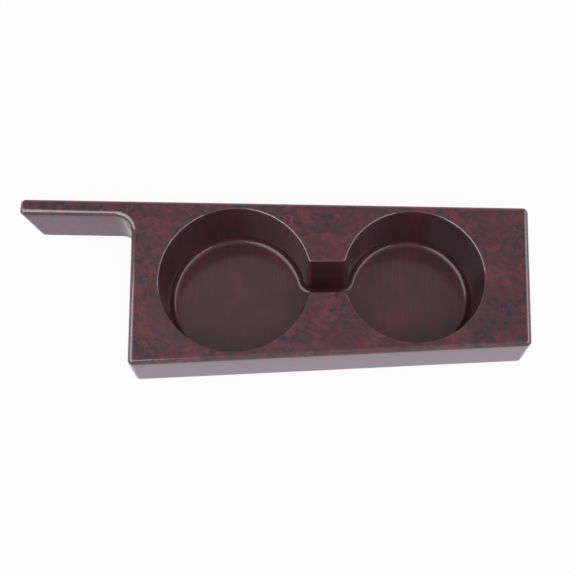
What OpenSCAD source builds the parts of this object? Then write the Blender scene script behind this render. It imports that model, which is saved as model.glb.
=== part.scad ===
// Double cup holder for a car console, moulded in one piece: a top plate with a skirt,
// two round tapered cups of different sizes, a channel that joins them at full depth,
// and a narrow arm that carries the plate's back edge past the body. Under the plate
// the moulding is open, with ribs between the cups and the skirt.
// The plan is drawn with x = 0 on the large cup's axis, y = 0 at the back edge and
// z = 0 at the top face. The finished part stands with z = 0 under its cups.

/* [Cups] */
// Inner diameter of the large cup at its mouth
large_cup_d = 75; // [66:0.5:84]
// Inner diameter of the small cup at its mouth
small_cup_d = 68.6; // [62:0.1:75]
// Depth of the cups from the top face to their floors
cup_depth = 32; // [28:0.5:50]
// Lean of the cup and channel walls, in degrees
cup_draft = 5.5; // [1:0.5:7]
// Thickness of the cup walls
cup_wall = 2; // [1.6:0.1:3]
// Thickness of the cup floors
floor_t = 2.4; // [1.6:0.1:4]
// Radius of the rounded rim where the cups and the channel meet the top face
rim_r = 1; // [0.6:0.1:1.1]
// Radius between the cup walls and their floors
floor_r = 3; // [1:0.5:4]
// Distance between the two rims, along the line through the cups
cup_gap = 16.4; // [12:0.2:30]

/* [Channel] */
// Width of the channel between the cups at the top face
channel_w = 16; // [12:0.5:20]
// Plan radius of the four corners where the channel opens into the cups
corner_r = 2; // [1:0.5:3]
// Rim and floor radii of the channel's walls, as a share of the cups' own
channel_ease = 0.85; // [0.7:0.05:0.85]
// Rim and floor radii of those corners, as a share of the cups' own
corner_ease = 0.92; // [0.9:0.01:0.96]

/* [Body] */
// Land between the rims and the front and back edges
land = 4; // [3.9:0.1:8]
// Land between the large cup's rim and the left wall
left_land = 14.4; // [10:0.2:30]
// Land between the small cup's rim and the right wall
right_land = 22.4; // [10:0.2:40]
// Lean of the left wall in plan, in degrees, stepping in towards the front
left_lean = 3.3; // [0:0.1:6]
// Lean of the right wall in plan, in degrees, stepping in towards the front
right_lean = 2; // [0:0.1:6]
// Depth of the skirt below the top face
skirt_h = 26; // [20:0.5:30]
// Thickness of the skirt
skirt_wall = 2.2; // [1.6:0.1:3]
// Thickness of the top plate
plate_t = 2.4; // [1.8:0.1:3.5]
// Radius of the rounded edge between the top face and the skirt
edge_r = 2.8; // [2:0.1:2.8]
// Outward draft of the skirt, in degrees
skirt_draft = 1; // [0:0.5:2]

/* [Arm] */
// Length of the arm beyond the body's back left corner
arm_len = 57; // [30:1:90]
// Width of the arm, front to back
arm_w = 8.7; // [7:0.1:14]
// Lean of the arm's end face, in degrees, stepping in towards its lower edge
arm_end_lean = 12; // [4:1:20]
// Radius of the concave corner between the arm and the body
blend_r = 9.5; // [5:0.5:15]

/* [Ribs] */
// Thickness of the stiffening ribs under the plate
rib_t = 1.6; // [1:0.1:2.5]
// Depth of the ribs below the top face
rib_h = 18; // [8:1:24]

/* [Hidden] */
$fn = 92;

large_r = large_cup_d / 2;
small_r = small_cup_d / 2;
half_channel = channel_w / 2;
large_cup = [0, -land - large_r];
small_cup_y = -land - small_r;
cup_drop = small_cup_y - large_cup[1];
cup_spacing = large_r + cup_gap + small_r;
small_cup = [sqrt(pow(cup_spacing, 2) - pow(cup_drop, 2)), small_cup_y];
line_angle = asin(cup_drop / cup_spacing);

// Both long edges are tangent to circles one land outside the rims, so the front edge
// leans twice as far as the line through the cups.
front_angle = 2 * line_angle;
total_h = cup_depth + floor_t;
skirt_out = edge_r * cos(skirt_draft)
    + (skirt_h - edge_r + edge_r * sin(skirt_draft)) * tan(skirt_draft);
blend_path_r = blend_r + edge_r;
channel_rim_r = channel_ease * rim_r;
channel_floor_r = channel_ease * floor_r;

// Where two forms of the moulding meet, one runs into the other by overlap, lap or step.
overlap = 0.5;
lap = 0.3;
step = 0.04;
thick_t = plate_t + overlap;
arm_end_z = edge_r + 2 * overlap;
arc_steps = 6;
corner_steps = 2;

// A straight wall seen from above: a point on it and its heading. The plastic lies on
// the left of the heading, and inset_by moves the wall that way.
function heading(a) = [cos(a), sin(a)];
function inset_by(wall, d) = [wall[0] + d * heading(wall[1] + 90), wall[1]];
function cross2(a, b) = a[0] * b[1] - a[1] * b[0];
function meet(a, b) =
    a[0] + heading(a[1]) * cross2(b[0] - a[0], heading(b[1]))
        / cross2(heading(a[1]), heading(b[1]));

front_wall = [large_cup - (large_r + land) * heading(front_angle + 90), front_angle];
right_wall = [small_cup + [small_r + right_land, 0], 90 - right_lean];
back_wall = [[0, 0], 180];
left_wall = [large_cup - [large_r + left_land, 0], 270 + left_lean];
arm_front = [[0, -arm_w], 0];
arm_x = meet(back_wall, left_wall)[0] - arm_len;
arm_end = [[arm_x, 0], 270];
walls = [front_wall, right_wall, back_wall, arm_end, arm_front, left_wall];

// Corner i lies between wall i and the next one. The last but one is concave.
CONCAVE = 4;
function corner(i, d) = meet(inset_by(walls[i], d), inset_by(walls[(i + 1) % len(walls)], d));
blend_centre = corner(CONCAVE, -blend_r);
function blend_touch(wall, d) = blend_centre + (blend_r + d) * heading(wall[1] + 90);

mid_x = (arm_x + corner(1, edge_r)[0] + skirt_out) / 2;
back_y = skirt_out - edge_r;
front_y = corner(5, edge_r)[1] - skirt_out;
mid_y = (back_y + front_y) / 2;

// Outline of the part seen from above, moved in by d, with the concave corner blended.
module plan(d) {
    difference() {
        polygon([
            corner(0, d), corner(1, d), corner(2, d), corner(3, d),
            blend_touch(arm_front, d), blend_centre, blend_touch(left_wall, d),
            corner(5, d)
        ]);
        translate(blend_centre) circle(blend_r + d);
    }
}

// Points along an arc, from one angle to another.
function arc(centre, r, from, to) =
    [for (i = [0 : arc_steps]) centre + r * heading(from + (to - from) * i / arc_steps)];

// The points mirrored in x, in the order that keeps the plastic on the same side.
function mirrored(points) =
    [for (i = [len(points) - 1 : -1 : 0]) [-points[i][0], points[i][1]]];

// Section of the skirt, outwards from x = 0 on the inset outline: a rounded shoulder that
// runs into a drafted wall. It starts at x = start, where it is thick, and grow thickens
// its wall.
function edge_section(start, thick, grow) =
    let (inner = edge_r - skirt_wall - grow)
    concat(
        [
            [start, 0], [start, -thick], [inner, -thick], [inner, grow - skirt_h],
            [skirt_out + grow, grow - skirt_h]
        ],
        arc([grow, -edge_r], edge_r, skirt_draft, 90)
    );

module edge_run(from, to) {
    along = from - to;
    translate(to) rotate(atan2(along[1], along[0])) translate([-lap, 0, 0])
        rotate([90, 0, 90]) linear_extrude(norm(along) + 2 * lap)
            polygon(edge_section(-overlap, thick_t, 0));
}

// Turns the section about a corner on its outer side.
module edge_turn(centre, start, sweep) {
    translate(centre) rotate(start) rotate_extrude(angle = sweep)
        polygon(edge_section(0, thick_t + overlap, step));
}

// Turns the section about the concave corner, on its inner side.
module edge_blend() {
    translate(blend_centre) rotate(left_wall[1] + 90)
        rotate_extrude(angle = 360 - left_wall[1] + arm_front[1])
            translate([blend_path_r, 0])
                polygon(mirrored(edge_section(-overlap - step, thick_t + overlap, step)));
}

// The skirt's section follows the whole outline, along each wall and round each corner.
// Each run laps into the turns at its ends, which are wider by one step.
module skirt() {
    edge_blend();
    for (i = [0 : len(walls) - 1]) {
        before = (i + len(walls) - 1) % len(walls);
        from = before == CONCAVE ? blend_touch(walls[i], edge_r) : corner(before, edge_r);
        to = i == CONCAVE ? blend_touch(walls[i], edge_r) : corner(i, edge_r);
        next_angle = walls[(i + 1) % len(walls)][1];
        edge_run(from, to);
        if (i != CONCAVE)
            edge_turn(corner(i, edge_r), walls[i][1] - 90, (next_angle - walls[i][1] + 360) % 360);
    }
}

// Where the arm's slanted end face is, at a height below the top face.
function arm_end_at(z) = arm_x - (z + arm_end_z) * tan(arm_end_lean);

// Extrudes a section of the arm's end, given in x and z, over a width about its centre line.
module arm_end_form(points, width) {
    translate([0, -arm_w / 2 + width / 2, 0]) rotate([90, 0, 0])
        linear_extrude(width) polygon(points);
}

module arm_end_wall() {
    foot = arm_end_at(-skirt_h);
    arm_end_form([
        [arm_x + skirt_wall / 4, -plate_t / 2], [foot - 2 * overlap, -skirt_h],
        [foot + skirt_wall, -skirt_h], [arm_x + 1.5 * skirt_wall, -plate_t / 2]
    ], arm_w - skirt_wall);
}

module arm_end_cut() {
    outer = arm_x - 2 * overlap;
    arm_end_form([
        [outer, 2 * overlap / tan(arm_end_lean) - arm_end_z], [outer, -skirt_h - overlap],
        [arm_end_at(-skirt_h - overlap), -skirt_h - overlap]
    ], 2 * arm_w);
}

module shell() {
    difference() {
        union() {
            translate([0, 0, -plate_t]) linear_extrude(plate_t) plan(edge_r + overlap / 2);
            skirt();
            arm_end_wall();
        }
        arm_end_cut();
    }
}

// Right side of a cavity's section, upwards from its floor: x = 0 is its wall at the top
// face, and the arcs at the foot and the rim are tangent to the drafted wall.
function cavity_side(depth, rim, foot) =
    let (
        rim_x = rim * (1 - sin(cup_draft)) / cos(cup_draft),
        foot_x = (-foot - (depth - foot) * sin(cup_draft)) / cos(cup_draft)
    )
    concat(
        arc([foot_x, foot - depth], foot, -90, -cup_draft),
        arc([rim_x, -rim], rim, 180 - cup_draft, 90)
    );

function moved(points, x) = [for (p = points) p + [x, 0]];

// Half section of a round cavity of radius r, from its axis.
module half_section(r, depth, rim, foot) {
    polygon(concat([[0, 0], [0, -depth]], moved(cavity_side(depth, rim, foot), r)));
}

// Whole section of a straight cavity of half width r.
module full_section(r, depth, rim, foot) {
    side = moved(cavity_side(depth, rim, foot), r);
    polygon(concat(side, mirrored(side)));
}

module cup_cavity(cup, r) {
    translate(cup) rotate_extrude() half_section(r, cup_depth, rim_r, floor_r);
}

module cup_skin(cup, r) {
    skin_r = r + cup_wall / cos(cup_draft);
    translate(cup) rotate_extrude() intersection() {
        half_section(skin_r, total_h, overlap, floor_r + cup_wall);
        translate([0, -total_h]) square([2 * r, total_h - plate_t / 2]);
    }
}

// Runs a section along the line through the cups, from inside one to inside the other.
module along_cups() {
    start = large_r / 2;
    end = cup_spacing - small_r / 2;
    translate(large_cup) rotate(line_angle) translate([start, 0, 0])
        rotate([90, 0, 90]) linear_extrude(end - start) children();
}

module channel_cavity() {
    along_cups() full_section(half_channel, cup_depth, channel_rim_r, channel_floor_r);
}

// Rounds the sharp corner where the channel opens into a cup of radius r, by flats that
// stand round an arc of radius corner_r, tangent to both walls.
module corner_flats(r) {
    side = half_channel + corner_r;
    turn = acos(side / (r + corner_r));
    reach = cup_depth * tan(cup_draft) + floor_r + overlap;
    section = concat(
        mirrored(cavity_side(cup_depth, corner_ease * rim_r, corner_ease * floor_r)),
        [[reach, -cup_depth], [reach, 0]]
    );
    translate([sqrt(pow(r + corner_r, 2) - pow(side, 2)), side])
        for (i = [1 : corner_steps])
            rotate(270 - turn * (i - 0.5) / corner_steps)
                translate([corner_r, reach / 2, 0]) rotate([90, 0, 0])
                    linear_extrude(reach) polygon(section);
}

module channel_corners() {
    for (flip = [0, 1]) {
        translate(large_cup) rotate(line_angle) mirror([0, flip]) corner_flats(large_r);
        translate(small_cup) rotate(line_angle + 180) mirror([0, flip]) corner_flats(small_r);
    }
}

module channel_skin() {
    half_skin = half_channel + cup_wall / cos(cup_draft);
    along_cups() intersection() {
        full_section(half_skin, total_h, overlap, channel_floor_r + cup_wall);
        translate([-channel_w, -total_h]) square([2 * channel_w, total_h - plate_t / 2]);
    }
}

// One rib under the plate, from one point to another.
module rib(from, to) {
    along = to - from;
    translate([from[0], from[1], -rib_h]) rotate(atan2(along[1], along[0]))
        translate([0, -rib_t / 2, 0]) cube([norm(along), rib_t, rib_h - plate_t / 2]);
}

// Ribs tie the cups to the end walls, and the channel to the front and back walls.
module ribs() {
    seat = skirt_wall / 2;
    middle = large_cup + (large_r + cup_gap / 2) * heading(line_angle);
    rib([large_cup[0] - large_r - left_land + seat, large_cup[1]], large_cup);
    rib(small_cup, [small_cup[0] + small_r + right_land - seat, small_cup[1]]);
    rib([middle[0], -seat], middle);
    rib(middle, meet(inset_by(front_wall, seat), [middle, 270]));
}

module holder_body() {
    color([0.33, 0.13, 0.15])
        translate([-mid_x, -mid_y, total_h]) difference() {
            union() {
                shell();
                cup_skin(large_cup, large_r);
                cup_skin(small_cup, small_r);
                channel_skin();
                ribs();
            }
            cup_cavity(large_cup, large_r);
            cup_cavity(small_cup, small_r);
            channel_cavity();
            channel_corners();
        }
}

holder_body();
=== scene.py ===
import math

import bmesh
import bpy
from mathutils import Matrix, Vector


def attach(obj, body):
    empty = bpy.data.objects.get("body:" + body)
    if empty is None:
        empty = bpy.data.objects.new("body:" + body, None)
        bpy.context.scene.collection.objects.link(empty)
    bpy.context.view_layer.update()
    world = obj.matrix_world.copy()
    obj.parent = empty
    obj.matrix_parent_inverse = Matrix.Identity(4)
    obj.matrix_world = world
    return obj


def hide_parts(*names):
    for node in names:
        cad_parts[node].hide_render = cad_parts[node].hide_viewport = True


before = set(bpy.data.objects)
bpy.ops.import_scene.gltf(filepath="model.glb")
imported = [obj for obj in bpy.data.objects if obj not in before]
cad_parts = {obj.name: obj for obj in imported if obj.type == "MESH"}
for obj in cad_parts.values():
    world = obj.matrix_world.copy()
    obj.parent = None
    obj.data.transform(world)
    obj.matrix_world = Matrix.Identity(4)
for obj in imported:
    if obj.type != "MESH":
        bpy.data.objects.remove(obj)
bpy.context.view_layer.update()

# Sizes in millimetres, the same values that the part's source names.
LARGE_R, SMALL_R = 37.5, 34.3
DEPTH, CUP_WALL, FLOOR_T = 32.0, 2.0, 2.4
RIM_R, FLOOR_R, CUP_GAP = 1.0, 3.0, 16.4
HALF_CHANNEL, POST_R = 8.0, 2.0
LAND, LEFT_LAND, RIGHT_LAND = 4.0, 14.4, 22.4
SKIRT_H, SKIRT_WALL, PLATE_T, EDGE_R = 26.0, 2.2, 2.4, 2.8
ARM_LEN, ARM_W, BLEND_R = 57.0, 8.7, 9.5
RIB_T, RIB_H = 1.6, 18.0
TOTAL_H = DEPTH + FLOOR_T

# Angles: the ends' leans in plan in degrees, the others in radians.
LEFT_LEAN, RIGHT_LEAN = 3.3, 2.0
DRAFT = math.radians(5.5)
SKIRT_DRAFT = math.radians(1.0)
ARM_END_LEAN = math.radians(12.0)

# Small sizes of this script's own: the eased lower edges, the distance from a cup's mouth to a
# rib's end, which keeps that end inside the cup's wall, and how far ribs reach into the plate.
SKIRT_EASE, RIB_EASE = 0.3, 0.25
MOUTH_GAP, INTO_PLATE = 0.1, 0.2
# How far from its end the arm leans, and the last part of that, where the lean fades out.
LEAN_REACH, LEAN_FADE = 14, 8
MM = 0.001

# How finely curves and straight runs are divided.
CORNER_STEPS, BLEND_STEPS, CUP_STEPS, POST_STEPS = 14, 28, 150, 10
RIM_STEPS, FOOT_STEPS, EDGE_STEPS, EASE_STEPS, WALL_STEPS = 8, 10, 12, 3, 6
OUTLINE_RUN, CAVITY_RUN = 8.0, 4.0
SHARP_ANGLE = math.radians(40)
# Points that agree to this many decimals of a millimetre share a vertex.
SAME_DECIMALS = 4

# Material slots. The print wraps over the first steps of the cups' rims, and ends at the
# skirt's lower edge.
BURL, INSIDE, UNDER = 0, 1, 2
PRINTED_RIM_STEPS = 3
PRINTED_SKIRT_STEPS = EDGE_STEPS + WALL_STEPS + EASE_STEPS


# The plan is made of straight walls, each a point and a heading in degrees. The plastic lies on
# the left of the heading.
def unit(deg):
    return Vector((math.cos(math.radians(deg)), math.sin(math.radians(deg))))


def inset_by(wall, d):
    """The wall moved into the plastic."""
    return (wall[0] + unit(wall[1] + 90) * d, wall[1])


def meet(a, b):
    """The point where two walls cross."""
    ha, hb = unit(a[1]), unit(b[1])
    gap = b[0] - a[0]
    return a[0] + ha * ((gap.x * hb.y - gap.y * hb.x) / (ha.x * hb.y - ha.y * hb.x))


# x = 0 is on the large cup's axis, y = 0 at the back edge, z = 0 at the top face.
large = Vector((0.0, -LAND - LARGE_R))
small_y = -LAND - SMALL_R
spacing = LARGE_R + CUP_GAP + SMALL_R
small = Vector((math.sqrt(spacing ** 2 - (small_y - large.y) ** 2), small_y))
line_deg = math.degrees(math.asin((small_y - large.y) / spacing))
front = (large - unit(2 * line_deg + 90) * (LARGE_R + LAND), 2 * line_deg)
right = (small + Vector((SMALL_R + RIGHT_LAND, 0)), 90 - RIGHT_LEAN)
back = (Vector((0, 0)), 180)
left = (large - Vector((LARGE_R + LEFT_LAND, 0)), 270 + LEFT_LEAN)
arm_x = meet(back, left).x - ARM_LEN
arm_end = (Vector((arm_x, 0)), 270)
arm_front = (Vector((0, -ARM_W)), 0)
walls = [front, right, back, arm_end, arm_front, left]
# Each corner lies between a wall and the next one.
BACK_RIGHT, CONCAVE, FRONT_LEFT = 1, 4, 5


def corner(i, d):
    """Where a wall and the next one meet, both moved into the plastic."""
    return meet(inset_by(walls[i], d), inset_by(walls[(i + 1) % len(walls)], d))


# The frame's origin is under the middle of the plan, level with the undersides of the cups.
skirt_out = (EDGE_R * math.cos(SKIRT_DRAFT)
             + (SKIRT_H - EDGE_R + EDGE_R * math.sin(SKIRT_DRAFT)) * math.tan(SKIRT_DRAFT))
back_y = skirt_out - EDGE_R
front_y = corner(FRONT_LEFT, EDGE_R).y - skirt_out
mid_x = (arm_x + corner(BACK_RIGHT, EDGE_R).x + skirt_out) / 2
mid_y = (back_y + front_y) / 2
shift = Vector((-mid_x, -mid_y, TOTAL_H))


# A path is a closed list of (point, normal) pairs.
def arc_path(centre, r, start, end, steps, inward, to_end=False):
    """Points round a centre, each with its normal: towards the centre, or away from it."""
    count = steps + 1 if to_end else steps
    around = [unit(start + (end - start) * k / steps) for k in range(count)]
    return [(centre + u * r, -u if inward else u) for u in around]


def lengthened(path, longest):
    """The same closed path with its long straights divided."""
    out = []
    for i, (p, n) in enumerate(path):
        q, m = path[(i + 1) % len(path)]
        out.append((p, n))
        count = int((q - p).length / longest)
        for k in range(1, count + 1):
            t = k / (count + 1)
            out.append((p.lerp(q, t), n.lerp(m, t).normalized()))
    return out


def outline_path():
    """The outline moved in by one edge radius, with outward normals."""
    path = []
    blend = corner(CONCAVE, -BLEND_R)
    for i, (_, heading) in enumerate(walls):
        following = walls[(i + 1) % len(walls)][1]
        if i == CONCAVE:
            path += arc_path(blend, BLEND_R + EDGE_R, heading + 90, following + 90 - 360,
                             BLEND_STEPS, inward=True, to_end=True)
        else:
            turn = (following - heading) % 360
            path += arc_path(corner(i, EDGE_R), 0, heading - 90, heading - 90 + turn,
                             CORNER_STEPS, inward=False, to_end=True)
    return path


def cavity_path():
    """The outline of the joined cups at the top face, with inward normals."""
    side = HALF_CHANNEL + POST_R
    post_large = math.sqrt((LARGE_R + POST_R) ** 2 - side ** 2)
    post_small = spacing - math.sqrt((SMALL_R + POST_R) ** 2 - side ** 2)
    open_large = math.degrees(math.asin(side / (LARGE_R + POST_R)))
    open_small = math.degrees(math.asin(side / (SMALL_R + POST_R)))

    def post(x, y, start, end, to_end):
        return arc_path(Vector((x, y)), POST_R, start, end, POST_STEPS, inward=False,
                        to_end=to_end)

    path = arc_path(Vector((0, 0)), LARGE_R, open_large, 360 - open_large, CUP_STEPS,
                    inward=True)
    path += post(post_large, -side, 180 - open_large, 90, to_end=True)
    path += post(post_small, -side, 90, open_small, to_end=False)
    path += arc_path(Vector((spacing, 0)), SMALL_R, 180 + open_small, 540 - open_small,
                     CUP_STEPS, inward=True)
    path += post(post_small, side, -open_small, -90, to_end=True)
    path += post(post_large, side, 270, 180 + open_large, to_end=False)
    turn = Matrix.Rotation(math.radians(line_deg), 2)
    return [(large + turn @ p, turn @ n) for p, n in path]


# A profile is a list of (outward distance from the path, height) pairs.
def arc(cx, cz, r, start, end, steps):
    """Points round a centre, from start to end in radians."""
    return [(cx + r * math.cos(t), cz + r * math.sin(t))
            for t in (start + (end - start) * k / steps for k in range(steps + 1))]


def cavity_profile(offset, depth, foot, top=None):
    """A tapered wall down to its floor, from a rounded rim or straight from a given height."""
    sin, cos, tan = math.sin(DRAFT), math.cos(DRAFT), math.tan(DRAFT)
    points = []
    if top is None:
        rim_x = RIM_R * (1 - sin) / cos
        points += arc(offset + rim_x, -RIM_R, RIM_R, math.pi / 2, math.pi - DRAFT, RIM_STEPS)
        head = -RIM_R + RIM_R * sin
    else:
        points.append((offset + top * tan, top))
        head = top
    foot_x = (-foot - (depth - foot) * sin) / cos
    foot_z = foot - depth - foot * sin
    for k in range(1, WALL_STEPS):
        z = head + (foot_z - head) * k / WALL_STEPS
        points.append((offset + z * tan, z))
    points += arc(offset + foot_x, foot - depth, foot, -DRAFT, -math.pi / 2, FOOT_STEPS)
    return points


def skirt_profile():
    """The rounded edge, the skirt with its eased lower edge, and the skirt's inner face."""
    points = arc(0, -EDGE_R, EDGE_R, math.pi / 2, SKIRT_DRAFT, EDGE_STEPS)
    touch_x, touch_z = points[-1]
    ease_z = -SKIRT_H + SKIRT_EASE
    for k in range(1, WALL_STEPS):
        t = k / WALL_STEPS
        points.append((touch_x + (skirt_out - touch_x) * t, touch_z + (ease_z - touch_z) * t))
    points += arc(skirt_out - SKIRT_EASE, ease_z, SKIRT_EASE, 0, -math.pi / 2, EASE_STEPS)
    inner = EDGE_R - SKIRT_WALL
    points += arc(inner + SKIRT_EASE, ease_z, SKIRT_EASE, -math.pi / 2, -math.pi, EASE_STEPS)
    points.append((inner, -PLATE_T))
    return points


def sheared(x, z):
    """The arm's end face leans in towards its lower edge."""
    lean = max(0.0, -z - EDGE_R) * math.tan(ARM_END_LEAN)
    near = min(max((arm_x + LEAN_REACH - x) / LEAN_FADE, 0.0), 1.0)
    return x + lean * near


# The mesh stays in millimetres until it is done.
bm = bmesh.new()
made_at = {}


def vertex(x, y, z):
    """The vertex at a point of the plan, made once."""
    co = Vector((x, y, z)) + shift
    key = tuple(round(c, SAME_DECIMALS) for c in co)
    if key not in made_at:
        made_at[key] = bm.verts.new(co)
    return made_at[key]


def swept(path, profile, sign):
    """A row of vertices for each point of the profile. The sign is 1 where the path's normals
    point outward, and -1 where they point inward."""
    rows = []
    for d, z in profile:
        row = []
        for p, n in path:
            q = p + n * (sign * d)
            row.append(vertex(sheared(q.x, z), q.y, z))
        rows.append(row)
    return rows


def skin(rows, slot_of, flip):
    """Faces between each row and the next."""
    for k in range(len(rows) - 1):
        a, b = rows[k], rows[k + 1]
        for i in range(len(a)):
            j = (i + 1) % len(a)
            ring = list(dict.fromkeys((a[i], b[i], b[j], a[j])))
            if len(ring) < 3:
                continue
            face = bm.faces.new(ring[::-1] if flip else ring)
            face.material_index = slot_of(k)


def flat(rows, up, slot):
    """Fills the level region that the rows bound."""
    edges = []
    for row in rows:
        ring = list(dict.fromkeys(row))
        for i, v in enumerate(ring):
            pair = (v, ring[(i + 1) % len(ring)])
            edges.append(bm.edges.get(pair) or bm.edges.new(pair))
    made = bmesh.ops.triangle_fill(bm, use_beauty=True, use_dissolve=False, edges=edges)
    for face in made["geom"]:
        if isinstance(face, bmesh.types.BMFace):
            face.normal_update()
            if (face.normal.z > 0) != up:
                face.normal_flip()
            face.material_index = slot


def rib(start, end):
    """A stiffening rib with eased lower edges, standing under the plate."""
    along = (end - start).normalized()
    across = Vector((-along.y, along.x)) * (RIB_T / 2)
    top, bottom = -PLATE_T + INTO_PLATE, -RIB_H
    eased = 1 - RIB_EASE / (RIB_T / 2)
    # half the section: share of the half thickness, height
    half = [(1, top), (1, bottom + RIB_EASE), (eased, bottom)]
    section = half + [(-s, z) for s, z in reversed(half)]
    near, far = ([bm.verts.new(Vector((at.x + across.x * s, at.y + across.y * s, z)) + shift)
                  for s, z in section] for at in (start, end))
    made = [bm.faces.new(near), bm.faces.new(far[::-1])]
    for i in range(len(section)):
        j = (i + 1) % len(section)
        made.append(bm.faces.new((near[j], near[i], far[i], far[j])))
    bmesh.ops.recalc_face_normals(bm, faces=made)
    for face in made:
        face.material_index = UNDER


outline = lengthened(outline_path(), OUTLINE_RUN)
cavity = lengthened(cavity_path(), CAVITY_RUN)
outer_rows = swept(outline, skirt_profile(), 1)
cup_rows = swept(cavity, cavity_profile(0, DEPTH, FLOOR_R), -1)
under_rows = swept(cavity, cavity_profile(CUP_WALL / math.cos(DRAFT), TOTAL_H,
                                          FLOOR_R + CUP_WALL, top=-PLATE_T), -1)
skin(outer_rows, lambda k: BURL if k < PRINTED_SKIRT_STEPS else UNDER, flip=False)
skin(cup_rows, lambda k: BURL if k < PRINTED_RIM_STEPS else INSIDE, flip=True)
skin(under_rows, lambda k: UNDER, flip=False)
flat([outer_rows[0], cup_rows[0]], True, BURL)
flat([cup_rows[-1]], True, INSIDE)
flat([outer_rows[-1], under_rows[0]], False, UNDER)
flat([under_rows[-1]], False, UNDER)

# Two ribs reach from the cups to the ends, and two from the channel to the back and the front.
in_skirt = SKIRT_WALL / 2
middle = large + unit(line_deg) * (LARGE_R + CUP_GAP / 2)
rib(Vector((large.x - LARGE_R - LEFT_LAND + in_skirt, large.y)),
    large - Vector((LARGE_R + MOUTH_GAP, 0)))
rib(small + Vector((SMALL_R + MOUTH_GAP, 0)),
    Vector((small.x + SMALL_R + RIGHT_LAND - in_skirt, small.y)))
rib(Vector((middle.x, -in_skirt)), middle + Vector((0, HALF_CHANNEL)))
rib(middle - Vector((0, HALF_CHANNEL)), meet(inset_by(front, in_skirt), (middle, 270)))

for face in bm.faces:
    face.smooth = True
for edge in bm.edges:
    if len(edge.link_faces) == 2 and edge.calc_face_angle() > SHARP_ANGLE:
        edge.smooth = False
bmesh.ops.scale(bm, vec=(MM, MM, MM), verts=bm.verts[:])
mesh = bpy.data.meshes.new("holder_skin")
bm.to_mesh(mesh)
bm.free()
holder = bpy.data.objects.new("holder_skin", mesh)
bpy.context.scene.collection.objects.link(holder)
weighted = holder.modifiers.new("normals", "WEIGHTED_NORMAL")
weighted.mode = "FACE_AREA"
weighted.weight = 100
weighted.keep_sharp = True


def srgb(r, g, b):
    """A colour written in 0 to 255 as the linear colour that the shader takes."""
    return tuple((c / 255 / 12.92 if c < 10.3 else ((c / 255 + 0.055) / 1.055) ** 2.4)
                 for c in (r, g, b)) + (1.0,)


def even_grey(level):
    return (level, level, level, 1)


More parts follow.
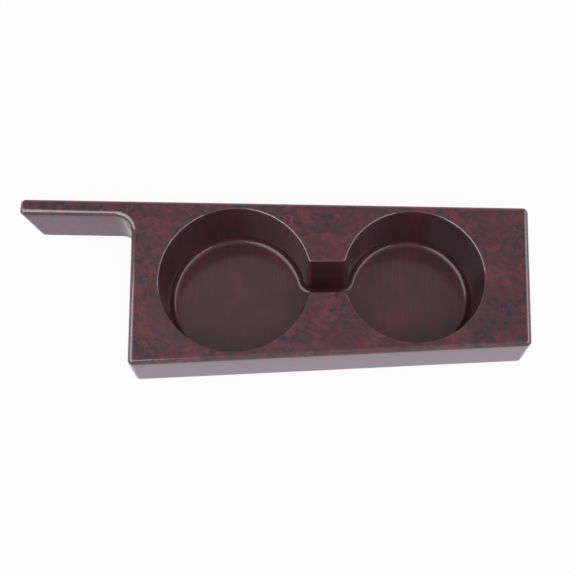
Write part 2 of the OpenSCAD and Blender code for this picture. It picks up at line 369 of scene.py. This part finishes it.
class Nodes:
    """A short way to write a material's nodes, over the object's coordinates in millimetres."""

    # The Mix node's colour sockets, by number, because its other kinds use the same names.
    FIRST_COLOUR, SECOND_COLOUR, MIXED_COLOUR = 6, 7, 2

    def __init__(self, name):
        self.material = bpy.data.materials.new(name)
        self.material.use_nodes = True
        self.tree = self.material.node_tree
        self.tree.nodes.clear()
        out = self.add("ShaderNodeOutputMaterial")
        self.shader = self.add("ShaderNodeBsdfPrincipled")
        self.link(self.shader.outputs["BSDF"], out.inputs["Surface"])
        where = self.add("ShaderNodeTexCoord").outputs["Object"]
        self.place = self.scaled(where, 1 / MM)

    def add(self, kind, **settings):
        node = self.tree.nodes.new(kind)
        for key, value in settings.items():
            setattr(node, key, value)
        return node

    def link(self, a, b):
        self.tree.links.new(a, b)

    def feed(self, name, value):
        """Sets one of the shader's own sockets, to a number or from another node."""
        if isinstance(value, float):
            self.shader.inputs[name].default_value = value
        else:
            self.link(value, self.shader.inputs[name])

    def scaled(self, vector, factor):
        node = self.add("ShaderNodeVectorMath", operation="SCALE")
        node.inputs["Scale"].default_value = factor
        self.link(vector, node.inputs[0])
        return node.outputs[0]

    def stretched(self, scale=(1, 1, 1), offset=(0, 0, 0)):
        """The place, with each axis scaled and then moved."""
        node = self.add("ShaderNodeMapping")
        node.inputs["Scale"].default_value = scale
        node.inputs["Location"].default_value = offset
        self.link(self.place, node.inputs["Vector"])
        return node.outputs["Vector"]

    def height(self):
        """Millimetres above the ground."""
        parts = self.add("ShaderNodeSeparateXYZ")
        self.link(self.place, parts.inputs[0])
        return parts.outputs["Z"]

    def noise(self, vector, scale, detail=3, rough=0.5, distortion=0.0, output="Fac"):
        node = self.add("ShaderNodeTexNoise")
        node.inputs["Scale"].default_value = scale
        node.inputs["Detail"].default_value = detail
        node.inputs["Roughness"].default_value = rough
        node.inputs["Distortion"].default_value = distortion
        self.link(vector, node.inputs["Vector"])
        return node.outputs[output]

    def warped(self, vector, scale, amount):
        """The vector, moved about by a noise of that scale."""
        push = self.noise(vector, scale, detail=2, output="Color")
        centred = self.add("ShaderNodeVectorMath", operation="SUBTRACT")
        centred.inputs[1].default_value = (0.5, 0.5, 0.5)
        self.link(push, centred.inputs[0])
        total = self.add("ShaderNodeVectorMath", operation="ADD")
        self.link(vector, total.inputs[0])
        self.link(self.scaled(centred.outputs[0], amount), total.inputs[1])
        return total.outputs[0]

    def ramp(self, value, stops):
        node = self.add("ShaderNodeValToRGB")
        ends = node.color_ramp.elements
        while len(ends) < len(stops):
            ends.new(0.5)
        for end, (at, colour) in zip(ends, stops):
            end.position = at
            end.color = colour
        self.link(value, node.inputs["Fac"])
        return node.outputs["Color"]

    def graded(self, value, low, high, start=0.0, end=1.0):
        """Goes from start to end as the value goes from low to high."""
        node = self.add("ShaderNodeMapRange")
        node.inputs["From Min"].default_value = low
        node.inputs["From Max"].default_value = high
        node.inputs["To Min"].default_value = start
        node.inputs["To Max"].default_value = end
        self.link(value, node.inputs["Value"])
        return node.outputs["Result"]

    def times(self, a, b):
        node = self.add("ShaderNodeMath", operation="MULTIPLY")
        self.link(a, node.inputs[0])
        if isinstance(b, float):
            node.inputs[1].default_value = b
        else:
            self.link(b, node.inputs[1])
        return node.outputs[0]

    def mix(self, amount, base, colour):
        """The base, with an amount of a plain colour laid over it."""
        node = self.add("ShaderNodeMix", data_type="RGBA", blend_type="MIX")
        self.link(amount, node.inputs["Factor"])
        self.link(base, node.inputs[self.FIRST_COLOUR])
        node.inputs[self.SECOND_COLOUR].default_value = colour
        return node.outputs[self.MIXED_COLOUR]

    def bump(self, height, strength, distance=0.0002):
        node = self.add("ShaderNodeBump")
        node.inputs["Strength"].default_value = strength
        node.inputs["Distance"].default_value = distance
        self.link(height, node.inputs["Height"])
        self.feed("Normal", node.outputs["Normal"])


def burl_print():
    """Dark maroon burl: red flow veins, dark clouds, and clusters of blue-grey eyes."""
    m = Nodes("burl_print")
    dark, maroon, red, brown = (srgb(62, 34, 42), srgb(84, 38, 46), srgb(104, 47, 55),
                                srgb(84, 41, 49))
    # the last colour is the painted floor sheen on the skirt
    vein_red, cloud_dark, eye_blue, sheen_plum = (srgb(124, 51, 59), srgb(54, 35, 43),
                                            srgb(34, 32, 44), srgb(118, 73, 104))
    flow = m.warped(m.stretched((1, 1.2, 1)), scale=0.035, amount=26)
    swirl = m.noise(flow, scale=0.15, detail=4, rough=0.55, distortion=0.7)
    base = m.ramp(swirl, [(0.34, dark), (0.50, maroon), (0.64, red), (0.74, brown)])
    # fine veins follow the flow, in patches
    veins = m.add("ShaderNodeTexWave", wave_type="BANDS", bands_direction="DIAGONAL")
    veins.inputs["Scale"].default_value = 0.12
    veins.inputs["Distortion"].default_value = 7
    veins.inputs["Detail"].default_value = 3
    veins.inputs["Detail Scale"].default_value = 1.2
    m.link(m.warped(flow, scale=0.14, amount=4), veins.inputs["Vector"])
    vein = m.graded(veins.outputs["Fac"], low=0.6, high=0.95)
    patches = m.noise(m.stretched(offset=(9, 23, 0)), scale=0.07, detail=2)
    patch = m.graded(patches, low=0.42, high=0.6)
    base = m.mix(m.times(m.times(vein, patch), 0.4), base, vein_red)
    # dark clouds
    clouds = m.noise(m.stretched(offset=(40, 7, 0)), scale=0.055, rough=0.55, distortion=0.6)
    cloud = m.graded(clouds, low=0.46, high=0.62)
    base = m.mix(m.times(cloud, 0.55), base, cloud_dark)
    # eyes of two sizes, in clusters
    eye_at = m.warped(m.stretched((1, 1.1, 1)), scale=0.25, amount=2.6)
    clusters = m.noise(m.stretched(offset=(3, 61, 0)), scale=0.05, detail=2)
    cluster = m.graded(clusters, low=0.41, high=0.51)
    eye_edge = 0.42
    for scale, full, strength in ((0.2, 0.2, 0.9), (0.34, 0.18, 0.75)):
        cells = m.add("ShaderNodeTexVoronoi", feature="F1")
        cells.inputs["Scale"].default_value = scale
        m.link(eye_at, cells.inputs["Vector"])
        eye = m.graded(cells.outputs["Distance"], low=eye_edge, high=full)
        base = m.mix(m.times(m.times(eye, cluster), strength), base, eye_blue)
    # painted reflection: on the skirt the print is mixed towards a pale plum, which stands in
    # for the sheen of the white floor
    height = m.height()
    skirt_sheen = m.graded(height, low=TOTAL_H - 2.9, high=TOTAL_H - 5.9, end=0.5)
    base = m.mix(skirt_sheen, base, sheen_plum)
    # the coat is thin on the skirt, thick on the rounded edge, and missing on the flat top
    none, thin, thick = even_grey(0), even_grey(0.28), even_grey(0.7)
    near_top = m.graded(height, low=TOTAL_H - 6, high=TOTAL_H)
    coat = m.ramp(near_top, [(0.5, thin), (0.6, thick), (0.95, thick), (1.0, none)])
    m.feed("Base Color", base)
    m.feed("Roughness", 0.13)
    m.feed("IOR", 1.42)
    m.feed("Coat Weight", coat)
    m.feed("Coat Roughness", 0.08)
    m.bump(m.noise(m.place, scale=0.35), strength=0.05)
    return m.material


def moulded_plastic():
    """Plain maroon plastic of the cups: faint mottling and very fine draw lines."""
    m = Nodes("moulded_maroon")
    dark, middle_tone, light, line_grey = (srgb(70, 43, 49), srgb(82, 46, 51),
                                           srgb(94, 49, 54), srgb(58, 42, 52))
    tone = m.noise(m.stretched((1, 1, 0.4)), scale=0.05, distortion=0.3)
    base = m.ramp(tone, [(0.35, dark), (0.52, middle_tone), (0.68, light)])
    lines = m.noise(m.stretched((1.1, 0.02, 0.02)), scale=1.0, detail=1)
    base = m.mix(m.graded(lines, low=0.4, high=0.62, end=0.45), base, line_grey)
    m.feed("Base Color", base)
    m.feed("Roughness", m.graded(m.noise(m.place, scale=0.2), 0.3, 0.7, start=0.13, end=0.17))
    m.feed("IOR", 1.35)
    # the rims have a glossy coat
    m.feed("Coat Weight", m.graded(m.height(), low=TOTAL_H - 1.2, high=TOTAL_H - 0.8))
    m.feed("Coat Roughness", 0.08)
    m.bump(m.noise(m.place, scale=0.5), strength=0.04)
    return m.material


def raw_underside():
    """The unpainted underside: duller, with a faint moulded grain."""
    m = Nodes("raw_underside")
    tone = m.noise(m.place, scale=0.08, detail=4, rough=0.6)
    base = m.ramp(tone, [(0.35, srgb(50, 32, 35)), (0.65, srgb(64, 39, 43))])
    m.feed("Base Color", base)
    m.feed("Roughness", m.graded(m.noise(m.place, scale=0.9), 0.3, 0.7, start=0.42, end=0.58))
    m.bump(m.noise(m.place, scale=1.6, detail=2), strength=0.12)
    return m.material


# In the order of the slots
for material in (burl_print(), moulded_plastic(), raw_underside()):
    mesh.materials.append(material)
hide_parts("holder_body")
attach(holder, "root")


# Floor, backdrop and light
def seen_share(tree):
    """1 for the rays that show the background itself, 0 for the rays that light the object."""
    path = tree.nodes.new("ShaderNodeLightPath")
    total = path.outputs["Is Camera Ray"]
    for ray in ("Is Glossy Ray", "Is Transmission Ray"):
        either = tree.nodes.new("ShaderNodeMath")
        either.operation = "MAXIMUM"
        tree.links.new(total, either.inputs[0])
        tree.links.new(path.outputs[ray], either.inputs[1])
        total = either.outputs[0]
    return total


def mixed(tree, share, first, second, out):
    """The second shader as far as the share goes, and the first for the rest."""
    both = tree.nodes.new("ShaderNodeMixShader")
    tree.links.new(share, both.inputs["Fac"])
    tree.links.new(first.outputs[0], both.inputs[1])
    tree.links.new(second.outputs[0], both.inputs[2])
    tree.links.new(both.outputs[0], out.inputs["Surface"])


def plain_floor():
    """White paper that is seen as nearly plain white, with a faint shadow left."""
    reach, white_share = 3.0, 0.94
    form = bpy.data.meshes.new("floor")
    corners = [(-reach, -reach, 0), (reach, -reach, 0), (reach, reach, 0), (-reach, reach, 0)]
    form.from_pydata(corners, [], [(0, 1, 2, 3)])
    floor = bpy.data.objects.new("floor", form)
    bpy.context.scene.collection.objects.link(floor)
    material = bpy.data.materials.new("floor_white")
    material.use_nodes = True
    tree = material.node_tree
    tree.nodes.clear()
    out = tree.nodes.new("ShaderNodeOutputMaterial")
    paper = tree.nodes.new("ShaderNodeBsdfDiffuse")
    paper.inputs["Color"].default_value = even_grey(0.86)
    glow = tree.nodes.new("ShaderNodeEmission")
    glow.inputs["Strength"].default_value = 1.0
    share = tree.nodes.new("ShaderNodeMath")
    share.operation = "MULTIPLY"
    share.inputs[1].default_value = white_share
    tree.links.new(seen_share(tree), share.inputs[0])
    mixed(tree, share.outputs[0], paper, glow, out)
    form.materials.append(material)


def world_light():
    """White where it is seen, also in reflections, and a soft fill on the object."""
    world = bpy.data.worlds.new("studio")
    bpy.context.scene.world = world
    world.use_nodes = True
    tree = world.node_tree
    tree.nodes.clear()
    out = tree.nodes.new("ShaderNodeOutputWorld")
    room = tree.nodes.new("ShaderNodeBackground")
    room.inputs["Color"].default_value = (0.92, 0.94, 1.0, 1)
    room.inputs["Strength"].default_value = 0.42
    white = tree.nodes.new("ShaderNodeBackground")
    white.inputs["Color"].default_value = even_grey(1)
    white.inputs["Strength"].default_value = 1.0
    mixed(tree, seen_share(tree), room, white, out)


def softbox(name, place, target, size, power, for_gloss):
    """An area lamp that makes the highlights, or one that makes the plain light."""
    lamp = bpy.data.lights.new(name, "AREA")
    lamp.shape = "RECTANGLE"
    lamp.size, lamp.size_y = size
    lamp.energy = power
    lamp.color = (0.97, 0.93, 1.0)
    box = bpy.data.objects.new(name, lamp)
    bpy.context.scene.collection.objects.link(box)
    place, target = Vector(place), Vector(target)
    box.location = place
    box.rotation_euler = (target - place).to_track_quat("-Z", "Y").to_euler()
    box.visible_diffuse = not for_gloss
    box.visible_glossy = for_gloss


plain_floor()
world_light()
# A panel leans over the left side and another stands at the right: they draw the lines on the
# edges and rims. A weak box adds the soft sheen on the left, and the plain light is above.
softbox("left_panel", place=(-0.809, -0.294, 1.064), target=(0, 0, 0.503),
        size=(1.75, 1.26), power=38, for_gloss=True)
softbox("right_panel", place=(0.985, -0.17, 1.02), target=(0, 0, 1.02),
        size=(2.2, 1.15), power=32, for_gloss=True)
softbox("upper_left", place=(-0.21, 0.31, 1.2), target=(-0.05, 0, 0),
        size=(0.45, 0.45), power=0.16, for_gloss=True)
softbox("overhead", place=(0.1, -0.5, 1.15), target=(0, 0, 0.03),
        size=(0.7, 0.7), power=8.4, for_gloss=False)

# Camera, from the fit to the photograph: degrees, and millimetres of the plan
YAW, PITCH, ROLL = -4.093, 69.306, -2.706
CAMERA_PLACE = Vector((37.99, -207.94, 428.94))
LENS, SENSOR = 58.68, 36.0
fit = (Matrix.Rotation(math.radians(ROLL), 3, "Z")
       @ Matrix.Rotation(math.radians(90 + PITCH), 3, "X")
       @ Matrix.Rotation(math.radians(YAW), 3, "Z"))
# The fit's rows point right, down and forwards. Blender's camera points right, up and backwards.
turn = Matrix((fit[0], -fit[1], -fit[2])).transposed().to_4x4()
lens = bpy.data.cameras.new("camera")
lens.lens, lens.sensor_width, lens.sensor_fit = LENS, SENSOR, "HORIZONTAL"
lens.clip_start = 0.01
camera = bpy.data.objects.new("camera", lens)
bpy.context.scene.collection.objects.link(camera)
camera.matrix_world = Matrix.Translation((CAMERA_PLACE + shift) * MM) @ turn
bpy.context.scene.camera = camera
bpy.context.scene.view_settings.view_transform = "Standard"

bpy.context.view_layer.update()
